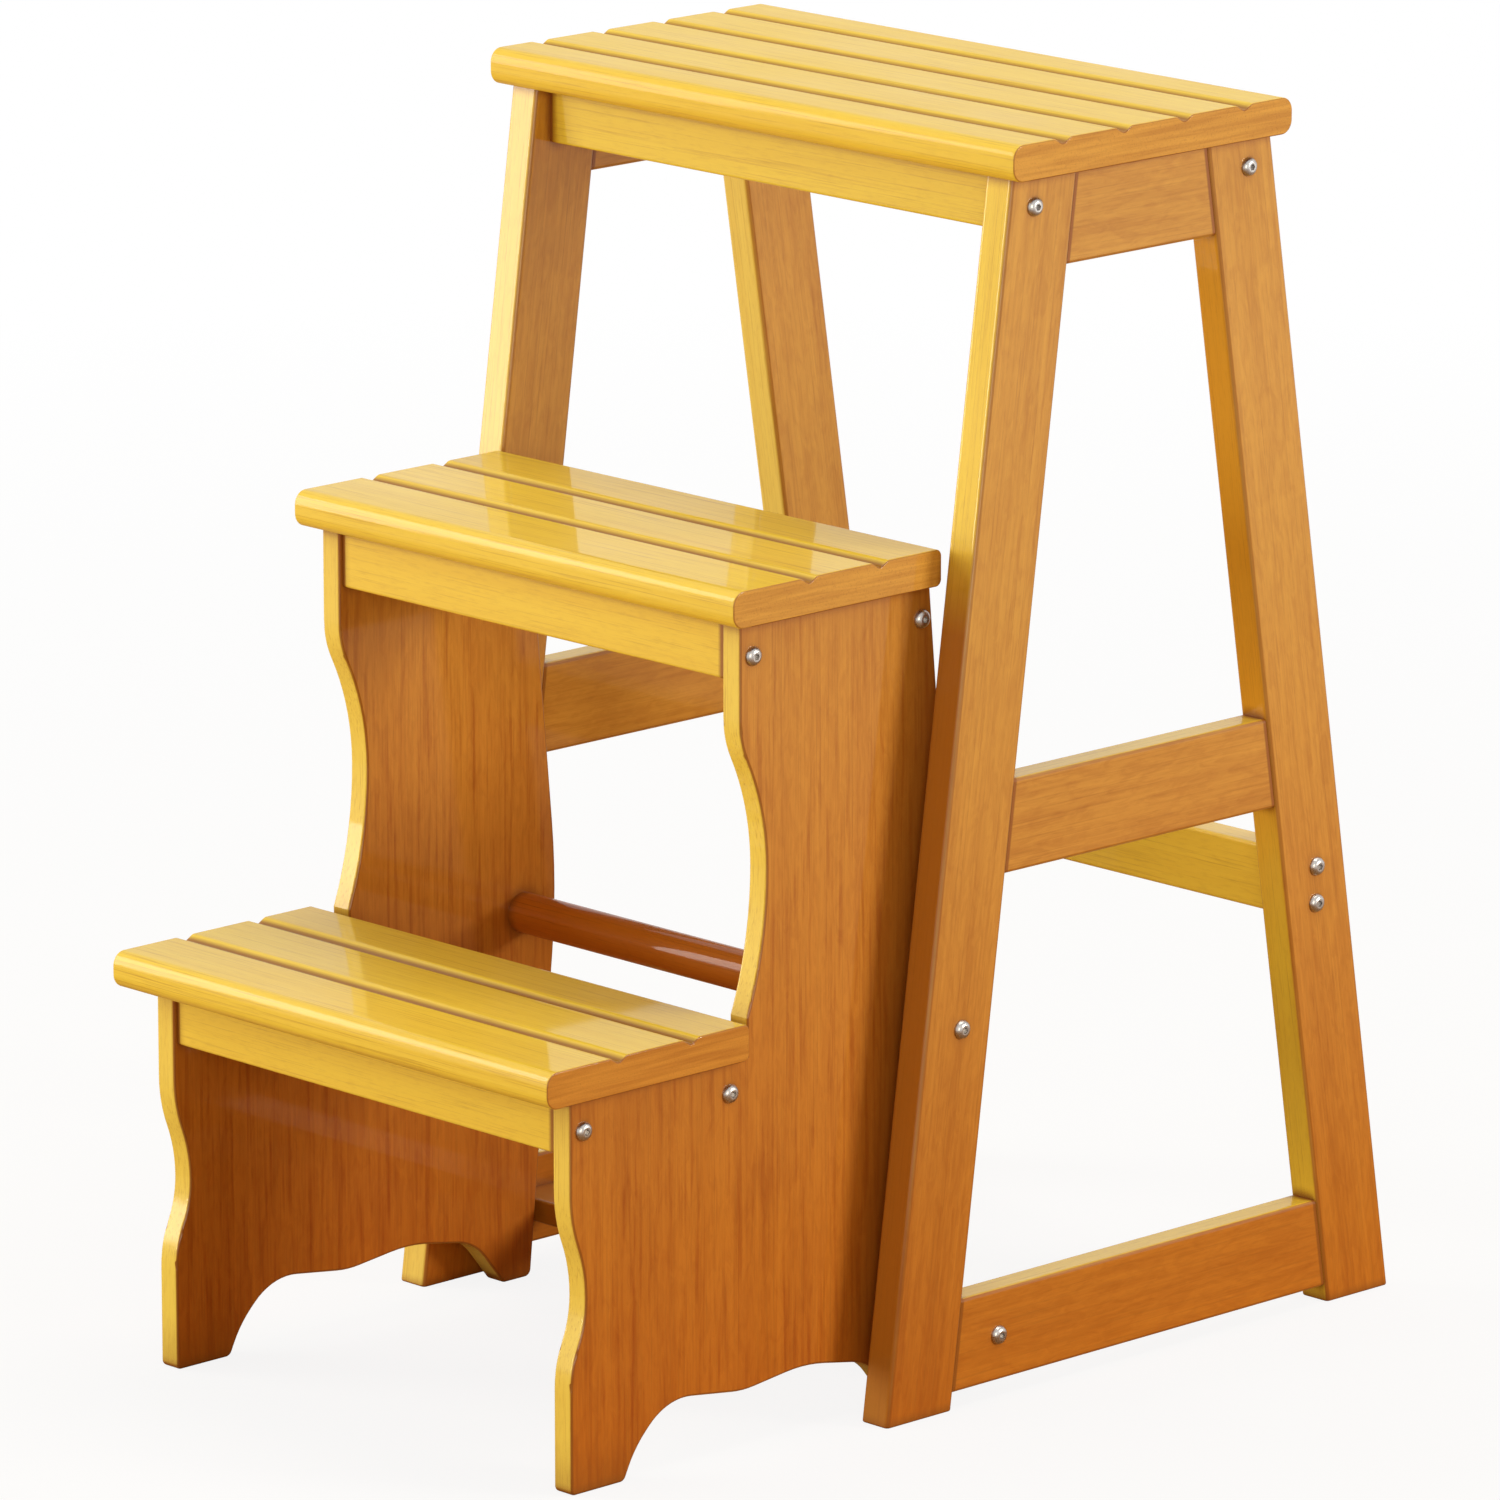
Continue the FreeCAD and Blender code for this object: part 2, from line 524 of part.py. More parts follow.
def frame_pieces():
    """Seat, legs, rails, cross pieces and fixings of the standing frame."""
    upright = Vector(0, 0, 1)
    level = Vector(0, 1, 0)
    apron_screw_z = LEG_TOP - SEAT_SCREW_DROP
    apron_places = [(FRONT_APRON_Y, apron_screw_z), (BACK_APRON_Y, apron_screw_z)]
    half_spacing = STRETCHER_SCREW_SPACING / 2
    stretcher_places = [(STRETCHER_Y, STRETCHER_MIDDLE + side * half_spacing) for side in (-1, 1)]
    rail_bottoms = {"top": TOP_RAIL_BOTTOM, "middle": MIDDLE_RAIL_BOTTOM, "bottom": BOTTOM_RAIL_BOTTOM}
    rail_places = [place for bottom in rail_bottoms.values() for place in rail_dowel_places(bottom)]

    apron_screws, apron_holes = screw_set(LEG_OUTER, apron_places, LEG_THICKNESS)
    stretcher_screws, stretcher_holes = screw_set(LEG_OUTER, stretcher_places, LEG_THICKNESS)
    bar_screws, bar_holes = screw_set(RAIL_OUTER, [(CROSS_BAR_Y, CROSS_BAR_MIDDLE)], RAIL_THICKNESS)
    rail_dowels, rail_holes = dowel_set(RAIL_DOWEL_RADIUS, RAIL_DOWEL_LENGTH, rail_places, level)
    seat_dowels, seat_holes = dowel_set(BOARD_DOWEL_RADIUS, BOARD_DOWEL_LENGTH, seat_dowel_places(), upright)
    pivot_hole = rod(
        PIVOT_BOLT_RADIUS + RUNNING_CLEARANCE,
        LEG_THICKNESS,
        Vector(LEG_INNER, PIVOT_Y, PIVOT_HEIGHT),
        ALONG_X,
    )

    pieces = {}
    first_groove = (SEAT_DEPTH - (SEAT_GROOVE_COUNT - 1) * SEAT_GROOVE_PITCH) / 2
    seat = grooved_board(
        0,
        SEAT_DEPTH,
        NOSE_RADIUS,
        SEAT_TOP,
        SEAT_HALF_WIDTH,
        SEAT_GROOVE_COUNT,
        SEAT_GROOVE_PITCH,
        first_groove,
    )
    pieces["seat_board"] = cut_all(seat, seat_holes)

    front_holes = apron_holes[:1] + rail_holes + [pivot_hole]
    back_holes = apron_holes[1:2] + rail_holes + stretcher_holes[:2]
    front_leg = cut_all(leg(front_leg_middle, FRONT_HALF_WIDTH), front_holes)
    back_leg = cut_all(leg(back_leg_middle, BACK_HALF_WIDTH), back_holes)
    right = {"front_leg": front_leg, "back_leg": back_leg}
    for name, bottom in rail_bottoms.items():
        right[name + "_rail"] = cut_all(side_rail(bottom), rail_holes)
    right["top_rail"] = cut_all(right["top_rail"], seat_holes)
    right["bottom_rail"] = cut_all(right["bottom_rail"], bar_holes[:1])
    for name, solid in right.items():
        pieces["right_" + name] = solid
        pieces["left_" + name] = mirrored(solid)

    apron_z = LEG_TOP - SEAT_APRON_HEIGHT / 2
    for name, y in (("front_apron", FRONT_APRON_Y), ("back_apron", BACK_APRON_Y)):
        solid = bar(y, apron_z, SEAT_APRON_THICKNESS, SEAT_APRON_HEIGHT, LEG_INNER, APRON_EDGE_RADIUS)
        pieces[name] = cut_all(solid, apron_holes + seat_holes)
    stretcher = bar(
        STRETCHER_Y, STRETCHER_MIDDLE, STRETCHER_THICKNESS, STRETCHER_HEIGHT, LEG_INNER, RAIL_EDGE_RADIUS
    )
    pieces["back_stretcher"] = cut_all(stretcher, stretcher_holes)
    cross_bar = bar(
        CROSS_BAR_Y, CROSS_BAR_MIDDLE, CROSS_BAR_DEPTH, CROSS_BAR_THICKNESS, RAIL_INNER, APRON_EDGE_RADIUS
    )
    pieces["bottom_cross_bar"] = cut_all(cross_bar, bar_holes)

    pieces["seat_apron_screws"] = Part.makeCompound(apron_screws)
    pieces["stretcher_screws"] = Part.makeCompound(stretcher_screws)
    pieces["cross_bar_screws"] = Part.makeCompound(bar_screws)
    pieces["rail_dowels"] = Part.makeCompound(both_sides(rail_dowels))
    pieces["seat_dowels"] = Part.makeCompound(seat_dowels)
    return pieces


def pivot_pieces():
    """Bolts, spacers, threaded inserts and round bar on the pivot axis, and their holes."""
    bolt_length = LEG_THICKNESS + PANEL_TO_LEG_GAP + PANEL_THICKNESS + PIVOT_BOLT_REACH
    under_head = LEG_OUTER + RUNNING_CLEARANCE
    bolt = screw(under_head, PIVOT_Y, PIVOT_HEIGHT, bolt_length, PIVOT_BOLT_RADIUS, SCREW_HEAD_RADIUS)
    shank_hole = screw_hole(LEG_OUTER, PIVOT_Y, PIVOT_HEIGHT, bolt_length, PIVOT_BOLT_RADIUS)
    inward = ALONG_X * -1
    insert_start = Vector(PANEL_INNER, PIVOT_Y, PIVOT_HEIGHT)
    insert = rod(PIVOT_INSERT_RADIUS, PIVOT_INSERT_LENGTH, insert_start, inward)
    insert_hole = rod(
        PIVOT_INSERT_RADIUS + HOLE_CLEARANCE, PIVOT_INSERT_LENGTH + HOLE_EXTRA_DEPTH, insert_start, inward
    )
    spacer_start = Vector(LEG_INNER - RUNNING_CLEARANCE, PIVOT_Y, PIVOT_HEIGHT)
    spacer = rod(PIVOT_SPACER_RADIUS, PANEL_TO_LEG_GAP - RUNNING_CLEARANCE, spacer_start, inward)
    dowel_start = Vector(-PANEL_INNER, PIVOT_Y, PIVOT_HEIGHT)
    round_bar = rod(PIVOT_DOWEL_DIAMETER / 2, 2 * PANEL_INNER, dowel_start, ALONG_X)
    pieces = {
        "pivot_dowel": cut_all(round_bar, both_sides([insert_hole, shank_hole])),
        "pivot_bolts": Part.makeCompound(both_sides([bolt])),
        "pivot_spacers": Part.makeCompound(both_sides([spacer.cut(shank_hole)])),
        "pivot_inserts": Part.makeCompound(both_sides([insert.cut(shank_hole)])),
    }
    return pieces, shank_hole


def step_pieces():
    """Panels, treads, aprons and fixings of the folding step unit."""
    pieces, pivot_hole = pivot_pieces()
    upright = Vector(0, 0, 1)
    middle_screw_z = MIDDLE_TREAD_UNDERSIDE - STEP_SCREW_DROP
    lower_screw_z = LOWER_TREAD_UNDERSIDE - STEP_SCREW_DROP
    screw_places = [
        (MIDDLE_FRONT_APRON_Y, middle_screw_z),
        (MIDDLE_BACK_APRON_Y, middle_screw_z),
        (LOWER_FRONT_APRON_Y, lower_screw_z),
        (LOWER_BACK_APRON_Y, lower_screw_z),
    ]
    screws, screw_holes = screw_set(PANEL_OUTER, screw_places, PANEL_THICKNESS)
    dowel_places = tread_dowel_places(MIDDLE_TREAD_FRONT, MIDDLE_TREAD_BACK, MIDDLE_TREAD_UNDERSIDE)
    dowel_places += tread_dowel_places(LOWER_TREAD_FRONT, LOWER_TREAD_BACK, LOWER_TREAD_UNDERSIDE)
    dowels, dowel_holes = dowel_set(BOARD_DOWEL_RADIUS, BOARD_DOWEL_LENGTH, dowel_places, upright)

    panel = cut_all(step_panel(), screw_holes + dowel_holes + [pivot_hole])
    pieces["right_step_panel"] = panel
    pieces["left_step_panel"] = mirrored(panel)

    treads = (
        ("middle_tread", MIDDLE_TREAD_FRONT, MIDDLE_TREAD_BACK, MIDDLE_TREAD_TOP, MIDDLE_TREAD_FIRST_GROOVE),
        ("lower_tread", LOWER_TREAD_FRONT, LOWER_TREAD_BACK, LOWER_TREAD_TOP, LOWER_TREAD_FIRST_GROOVE),
    )
    for name, front, back, top, first in treads:
        board = grooved_board(
            front,
            back,
            TREAD_BACK_RADIUS,
            top,
            TREAD_HALF_WIDTH,
            TREAD_GROOVE_COUNT,
            TREAD_GROOVE_PITCH,
            first,
        )
        pieces[name] = cut_all(board, dowel_holes)

    aprons = (
        ("middle_front_apron", MIDDLE_FRONT_APRON_Y, MIDDLE_TREAD_UNDERSIDE),
        ("middle_back_apron", MIDDLE_BACK_APRON_Y, MIDDLE_TREAD_UNDERSIDE),
        ("lower_front_apron", LOWER_FRONT_APRON_Y, LOWER_TREAD_UNDERSIDE),
        ("lower_back_apron", LOWER_BACK_APRON_Y, LOWER_TREAD_UNDERSIDE),
    )
    for name, y, top in aprons:
        z = top - STEP_APRON_HEIGHT / 2
        solid = bar(y, z, STEP_APRON_THICKNESS, STEP_APRON_HEIGHT, PANEL_INNER, APRON_EDGE_RADIUS)
        pieces[name] = cut_all(solid, screw_holes)

    pieces["step_screws"] = Part.makeCompound(screws)
    pieces["tread_dowels"] = Part.makeCompound(dowels)
    return pieces


def main():
    """Build every piece, move the origin to the footprint's middle and write the pieces."""
    os.makedirs("parts", exist_ok=True)
    pieces = frame_pieces()
    pieces.update(step_pieces())
    for name, shape in pieces.items():
        shape.translate(Vector(0, -FOOTPRINT_MIDDLE, 0))
        shape.exportStep("parts/" + name + ".step")


main()
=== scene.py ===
import logging
import math
from dataclasses import dataclass, field
from enum import Enum
from typing import Union

import bpy
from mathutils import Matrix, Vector

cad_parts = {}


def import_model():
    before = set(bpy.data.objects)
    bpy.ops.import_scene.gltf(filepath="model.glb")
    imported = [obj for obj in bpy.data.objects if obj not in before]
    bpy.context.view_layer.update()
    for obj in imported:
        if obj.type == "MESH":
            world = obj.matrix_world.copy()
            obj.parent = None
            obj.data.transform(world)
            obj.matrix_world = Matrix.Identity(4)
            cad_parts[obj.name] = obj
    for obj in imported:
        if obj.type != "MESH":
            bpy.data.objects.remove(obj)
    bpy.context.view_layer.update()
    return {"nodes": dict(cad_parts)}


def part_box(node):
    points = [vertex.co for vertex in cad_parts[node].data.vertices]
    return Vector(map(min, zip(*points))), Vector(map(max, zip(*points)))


LOG = logging.getLogger("step_stool")

Colour = tuple[float, float, float]
Point = tuple[float, float, float]
Span = tuple[float, float]
Socket = bpy.types.NodeSocket
Sockets = bpy.types.bpy_prop_collection
Number = Union[float, Socket]
Tone = Union[Colour, Socket]
InputValue = Union[float, tuple[float, ...], Vector, Socket]

WHITE = (1.0, 1.0, 1.0, 1.0)


class Grain(Enum):
    """Direction of the wood grain, as the turn in degrees that brings it onto the texture's X axis."""

    ACROSS = (0.0, 0.0, 0.0)
    DEPTH = (0.0, 0.0, -90.0)
    UPRIGHT = (0.0, 90.0, 0.0)
    FRONT_LEG = (7.68, 90.0, 0.0)
    BACK_LEG = (-8.97, 90.0, 0.0)

    @property
    def turn(self) -> tuple[float, ...]:
        """The turn in radians."""
        return tuple(math.radians(angle) for angle in self.value)

    @property
    def lean(self) -> float:
        """How far a leg with this grain leans from upright, in radians."""
        return self.turn[0]


@dataclass(frozen=True)
class Pattern:
    """One noise pattern.

    Attributes:
        scale: Repeats per metre along, across and through the piece.
        detail: Octaves.
        roughness: Weight of the finer octaves.
        distortion: How far the pattern is bent by itself.
        span: Noise values that become 0 and 1 where the pattern is used as a share.
    """

    scale: Point
    detail: float
    roughness: float
    distortion: float = 0.0
    span: Span = (0.0, 1.0)


class NodeBench:
    """Small helper that adds and joins the shader nodes of one material or of the world."""

    def __init__(self, owner: Union[bpy.types.Material, bpy.types.World], output: str) -> None:
        """Start an empty set of nodes.

        Args:
            owner: Material or world that the nodes belong to.
            output: Blender's name of its output node.
        """
        owner.use_nodes = True
        self.owner = owner
        self.tree = owner.node_tree
        self.tree.nodes.clear()
        self.output = self.add(output)

    @classmethod
    def for_material(cls, name: str) -> "NodeBench":
        """Bench of a new material."""
        return cls(bpy.data.materials.new(name), "ShaderNodeOutputMaterial")

    def add(
        self,
        kind: str,
        inputs: dict[Union[str, int], InputValue] | None = None,
        **settings: Union[str, int, bool],
    ) -> bpy.types.Node:
        """Add a node, set its properties, and set or link its inputs.

        Args:
            kind: Blender's name of the node type.
            inputs: Input name or number to a value or to another node's output socket.
            settings: Properties of the node itself.

        Returns:
            The new node.
        """
        node = self.tree.nodes.new(kind)
        for name, value in settings.items():
            setattr(node, name, value)
        for name, value in (inputs or {}).items():
            if isinstance(value, Socket):
                self.tree.links.new(value, node.inputs[name])
            else:
                node.inputs[name].default_value = value
        return node

    def maths(self, operation: str, first: Number, second: Number, clamp: bool = False) -> Socket:
        """Result of one operation on two values or sockets."""
        node = self.add("ShaderNodeMath", {0: first, 1: second}, operation=operation, use_clamp=clamp)
        return node.outputs[0]

    def product(self, first: Number, *others: Number) -> Socket:
        """Product of two or more values or sockets.

        Args:
            first: First factor.
            others: The other factors.

        Returns:
            The socket with the product.
        """
        result = first
        for factor in others:
            result = self.maths("MULTIPLY", result, factor)
        return result

    def noise(self, vector: Socket, pattern: Pattern) -> Socket:
        """Noise of a pattern, stretched by its own scale along each axis.

        Args:
            vector: Socket with the coordinates.
            pattern: The pattern.

        Returns:
            The socket with the noise from 0 to 1.
        """
        stretched = self.add("ShaderNodeMapping", {"Vector": vector, "Scale": pattern.scale}).outputs[0]
        inputs = {
            "Vector": stretched,
            "Scale": 1.0,
            "Detail": pattern.detail,
            "Roughness": pattern.roughness,
            "Distortion": pattern.distortion,
        }
        return self.add("ShaderNodeTexNoise", inputs).outputs["Fac"]

    def spread(self, value: Number, span: Span, result: Span = (0.0, 1.0)) -> Socket:
        """Value stretched so that the ends of the span become the ends of the result, and kept there."""
        inputs = {0: value, 1: span[0], 2: span[1], 3: result[0], 4: result[1]}
        return self.add("ShaderNodeMapRange", inputs).outputs[0]

    def share(self, vector: Socket, pattern: Pattern) -> Socket:
        """Noise of a pattern, spread from 0 to 1 over the pattern's span."""
        return self.spread(self.noise(vector, pattern), pattern.span)

    def blend(self, factor: Number, first: Tone, second: Tone, mode: str = "MIX") -> Socket:
        """Mix of two colours.

        Args:
            factor: Share of the second colour.
            first: Colour or socket at a factor of 0.
            second: Colour or socket at a factor of 1.
            mode: Blender's name of the way to mix.

        Returns:
            The socket with the mixed colour.
        """
        node = self.add("ShaderNodeMix", data_type="RGBA", blend_type=mode)
        sockets = {socket.name: socket for socket in node.inputs if socket.enabled}
        for name, value in (("Factor", factor), ("A", first), ("B", second)):
            if isinstance(value, Socket):
                self.tree.links.new(value, sockets[name])
            elif name == "Factor":
                sockets[name].default_value = value
            else:
                sockets[name].default_value = (*value, 1.0)
        return next(socket for socket in node.outputs if socket.enabled)

    def finish(self, shader: bpy.types.Node) -> Union[bpy.types.Material, bpy.types.World]:
        """Join the shader to the output, and hand over the material or the world."""
        self.tree.links.new(shader.outputs[0], self.output.inputs["Surface"])
        return self.owner


@dataclass(frozen=True)
class Seam:
    """Plane in which the end of a bar meets its neighbour.

    Attributes:
        point: A point of the plane.
        inward: Direction from the plane into the bar.
        width: Width of the dark line on the bar.
    """

    point: Vector
    inward: Vector
    width: float = 0.0024

    @classmethod
    def at_ends(cls, bar: str, right_width: float = 0.0056) -> tuple["Seam", "Seam"]:
        """Seams at the left and right end of a bar that lies across the object.

        Args:
            bar: Name of the bar.
            right_width: Width of the dark line at its right end.

        Returns:
            The left and the right seam.
        """
        low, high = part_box(bar)
        return cls(low, Vector((1.0, 0.0, 0.0))), cls(high, Vector((-1.0, 0.0, 0.0)), right_width)

    @classmethod
    def at_legs(cls, side: str) -> tuple["Seam", "Seam"]:
        """Seams of a side rail with the back of its front leg and the front of its back leg.

        Args:
            side: Side of the stool, left or right.

        Returns:
            The front and the back seam.
        """
        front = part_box(side + "_front_leg")[1]
        low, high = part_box(side + "_back_leg")
        front_lean = Grain.FRONT_LEG.lean
        back_lean = Grain.BACK_LEG.lean
        return (
            cls(front, Vector((0.0, math.cos(front_lean), -math.sin(front_lean)))),
            cls(Vector((0.0, low.y, high.z)), Vector((0.0, -math.cos(back_lean), math.sin(back_lean)))),
        )


@dataclass(frozen=True)
class Grooves:
    """Where a board's grooves lie: below its top face, between its nose and its back edge."""

    top: float
    front: float
    back: float

    @classmethod
    def of(cls, node: str, nose: float = 0.012, back_edge: float = 0.006) -> "Grooves":
        """Read the place of the grooves from a board's box.

        Args:
            node: Name of the grooved board.
            nose: Depth of the strip behind the front edge that has no groove.
            back_edge: Depth of the strip before the back edge that has no groove.

        Returns:
            The strip of the board that holds the grooves.
        """
        low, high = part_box(node)
        return cls(high.z, low.y + nose, high.y - back_edge)


@dataclass(frozen=True)
class Surface:
    """Sockets that tell a varnish where on its board a point lies.

    Attributes:
        place: Position on the part, in metres.
        spot: The same position, as X, Y and Z.
        along: Position turned so that the grain runs along X, on the board's own stretch of wood.
        facing: How much the face looks along X, Y and Z, each from 0 to 1.
    """

    place: Socket
    spot: Sockets
    along: Socket
    facing: Sockets

    @classmethod
    def of(
        cls,
        bench: NodeBench,
        grain: Grain,
        seed: int,
        step: Point = (1.37, 0.71, 0.43),
        wrap: Point = (5.0, 3.0, 2.0),
    ) -> "Surface":
        """Add the nodes that read the position and the normal.

        Args:
            bench: The material's bench.
            grain: Direction of the board's grain.
            seed: Number that gives each board its own stretch of wood.
            step: How far the wood moves on from one seed to the next, in metres.
            wrap: Length after which the moves start again.

        Returns:
            The sockets.
        """
        coordinates = bench.add("ShaderNodeTexCoord").outputs
        place = coordinates["Object"]
        offset = tuple(seed * move % limit for move, limit in zip(step, wrap))
        mapping = {"Vector": place, "Rotation": grain.turn, "Location": offset}
        along = bench.add("ShaderNodeMapping", mapping).outputs[0]
        normal = bench.add("ShaderNodeVectorMath", {0: coordinates["Normal"]}, operation="ABSOLUTE")
        facing = bench.add("ShaderNodeSeparateXYZ", {0: normal.outputs[0]}).outputs
        spot = bench.add("ShaderNodeSeparateXYZ", {0: place}).outputs
        return cls(place, spot, along, facing)


@dataclass(frozen=True)
class WoodPatterns:
    """Noise patterns of the wood and of the coat, and the weights of the figure's three parts."""

    broad: Pattern = Pattern((1.3, 22.0, 22.0), 3.0, 0.55, 0.4, (0.30, 0.70))
    rings: Pattern = Pattern((2.6, 130.0, 130.0), 3.0, 0.6, 0.25, (0.36, 0.66))
    fine: Pattern = Pattern((8.0, 560.0, 560.0), 4.0, 0.65, span=(0.32, 0.70))
    broad_weight: float = 0.36
    rings_weight: float = 0.36
    fine_weight: float = 0.28
    end_waves: Pattern = Pattern((60.0, 15.0, 420.0), 3.0, 0.6, 0.4, (0.36, 0.66))
    streaks: Pattern = Pattern((16.0, 330.0, 330.0), 2.0, 0.5, span=(0.50, 0.70))
    mottle: Pattern = Pattern((52.0, 210.0, 210.0), 3.0, 0.6, 1.1, (0.42, 0.64))
    long_pores: Pattern = Pattern((15.0, 1300.0, 1300.0), 3.0, 0.55, span=(0.54, 0.74))
    short_flecks: Pattern = Pattern((130.0, 760.0, 760.0), 2.0, 0.6, span=(0.50, 0.74))
    worn_patches: Pattern = Pattern((11.0, 60.0, 60.0), 3.0, 0.6, span=(0.35, 0.70))
    open_pores: Pattern = Pattern((30.0, 1300.0, 1300.0), 3.0, 0.55)
    coat_waves: Pattern = Pattern((11.0, 26.0, 26.0), 1.0, 0.4)
    coat_clouds: Pattern = Pattern((9.0, 16.0, 16.0), 2.0, 0.5, span=(0.3, 0.7))


@dataclass(frozen=True)
class HoneyVarnish:
    """Light hardwood under a honey-coloured gloss varnish.

    The narrow edges, tops and fronts are yellow. The wide side faces are orange-brown, partly the
    wood's own tone and partly painted shade, and darken towards the floor with painted shade.
    Brown stain and painted shade lie in joints, grooves and creases and along the side faces'
    rounded edges, and where contact shade is set, painted shade also lies near a neighbouring
    piece. The rounded edges are worn paler. Where a painted shade span is given, the yellow faces
    take the painted shade tone over those heights. A span names the value at which something
    starts and the value at which it is complete. Lengths are in metres.
    """

    # Tones, as linear red, green and blue.
    edge_light: Colour = (0.92, 0.680, 0.066)
    edge_dark: Colour = (0.72, 0.425, 0.030)
    # The side tones are partly the wood's own tone and partly painted shade that keeps the side faces
    # darker and redder.
    side_light_with_shade: Colour = (0.77, 0.435, 0.070)
    side_dark_with_shade: Colour = (0.44, 0.17, 0.017)
    # Painted shade: the side faces darken and redden towards the floor.
    painted_low_shade_tint: Colour = (0.85, 0.53, 0.27)
    pore: Colour = (0.36, 0.13, 0.015)
    worn: Colour = (0.95, 0.70, 0.20)
    # Colour of the dark joint lines, and of the stain and painted shade in creases, grooves and near
    # neighbours.
    crease_stain_and_shade: Colour = (0.30, 0.10, 0.012)
    # Painted shade tone that the yellow faces take over the painted shade span.
    painted_shade_edge: Colour = (0.46, 0.155, 0.015)

    # How strong each pattern, each stain and each painted shade is.
    figure: float = 0.42
    side_contrast: float = 1.45
    end_contrast: float = 0.55
    mottle: float = 0.20
    streaks: float = 0.15
    flecks: float = 0.13
    pores: float = 0.38
    wear: float = 0.22
    # Dark line at the side faces' rounded edges, partly stain and partly painted shade.
    edge_line_stain_and_shade: float = 0.50
    # Stain and painted shade where ambient occlusion finds a close neighbour: creases, joints, under noses.
    grime_and_shade: float = 0.95
    # Painted contact shade near a neighbouring piece, within a wider reach.
    painted_contact_shade: float = 0.0
    # Stain and painted shade in the grooves.
    groove_stain_and_shade: float = 0.82
    seam_stain: float = 0.90
    painted_shade_share: float = 0.90

    # Where each of them starts and is complete: heights, depths, and how a face looks.
    # Heights over which the yellow faces take painted shade.
    painted_shade_span: Span | None = None
    painted_low_shade_span: Span = (0.40, 0.0)
    side_tone_and_shade_span: Span = (0.35, 0.62)
    line_inner_span: Span = (0.50, 0.68)
    line_outer_span: Span = (0.996, 0.960)
    rounding_span: Span = (0.93, 0.78)
    closed_span: Span = (0.96, 0.52)
    groove_depth_span: Span = (0.0006, 0.0020)
    groove_facing_span: Span = (0.2, 0.5)
    grime_and_shade_reach: float = 0.006
    painted_contact_shade_reach: float = 0.030
    corner_samples: int = 6
    seam_core: float = 0.6

    # The wood under the coat, the coat, and the relief.
    wood_roughness: Span = (0.42, 0.56)
    wood_specular: float = 0.12
    gloss: float = 0.65
    coat_roughness: float = 0.05
    coat_ior: float = 1.5
    pore_height: float = 0.05
    relief_strength: float = 0.10
    relief_depth: float = 0.0010
    patterns: WoodPatterns = WoodPatterns()

    def material(
        self,
        name: str,
        grain: Grain,
        seed: int,
        grooves: Grooves | None = None,
        seams: tuple[Seam, ...] = (),
    ) -> bpy.types.Material:
        """Make the varnish for one board.

        Args:
            name: Name of the material.
            grain: Direction of the board's grain.
            seed: Number that gives each board its own stretch of wood.
            grooves: Place of the board's grooves, if it has any.
            seams: Planes in which the board's ends meet its neighbours.

        Returns:
            The material.
        """
        bench = NodeBench.for_material(name)
        surface = Surface.of(bench, grain, seed)
        colour = self._wood_tone(bench, surface, grain)
        layers = [
            (self._pores(bench, surface), self.pore),
            # Dark edge line, partly stain and partly painted shade.
            (self._edge_line_stain_and_shade(bench, surface), self.crease_stain_and_shade),
            (self._wear(bench, surface), self.worn),
            # Stain and painted shade in creases, joints and under noses, found by ambient occlusion.
            (self._occluded_stain_and_shade(bench, self.grime_and_shade_reach, self.grime_and_shade), self.crease_stain_and_shade),
        ]
        # Painted contact shade near a neighbouring piece.
        if self.painted_contact_shade:
            layers.append((self._occluded_stain_and_shade(bench, self.painted_contact_shade_reach, self.painted_contact_shade), self.crease_stain_and_shade))
        if seams:
            layers.append((self._seam_share(bench, surface, seams), self.crease_stain_and_shade))
        # Stain and painted shade in the grooves.
        if grooves:
            layers.append((self._groove_share(bench, surface, grooves), self.crease_stain_and_shade))
        for share, tone in layers:
            colour = bench.blend(share, colour, tone)
        shader = bench.add(
            "ShaderNodeBsdfPrincipled",
            {
                "Base Color": colour,
                "Roughness": self._roughness(bench, surface),
                "Specular IOR Level": self.wood_specular,
                "Coat Weight": self.gloss,
                "Coat Roughness": self.coat_roughness,
                "Coat IOR": self.coat_ior,
                "Normal": self._relief(bench, surface),
            },
        )
        return bench.finish(shader)

    def _wood_tone(self, bench: NodeBench, surface: Surface, grain: Grain) -> Socket:
        """Tone of the stained wood, yellow on edges and orange-brown on side faces, with painted shade on
        the side faces, towards the floor and over the painted shade span.

        Args:
            bench: The material's bench.
            surface: Sockets of the board's surface.
            grain: Direction of the board's grain.

        Returns:
            The socket with the colour.
        """
        figure = self._figure(bench, surface)
        edge = bench.blend(figure, self.edge_light, self.edge_dark)
        # Painted shade: over these heights the yellow faces take the painted shade tone.
        if self.painted_shade_span:
            deep = bench.spread(surface.spot["Z"], self.painted_shade_span)
            edge = bench.blend(bench.product(deep, self.painted_shade_share), edge, self.painted_shade_edge)
        side_figure = self._side_figure(bench, surface, figure, grain)
        side = bench.blend(side_figure, self.side_light_with_shade, self.side_dark_with_shade)
        # Painted shade, deepening the side faces towards the floor.
        low = bench.spread(surface.spot["Z"], self.painted_low_shade_span)
        side = bench.blend(low, side, bench.blend(1.0, side, self.painted_low_shade_tint, "MULTIPLY"))
        # The side faces take the side tone, which is partly painted shade.
        return bench.blend(bench.spread(surface.facing["X"], self.side_tone_and_shade_span), edge, side)

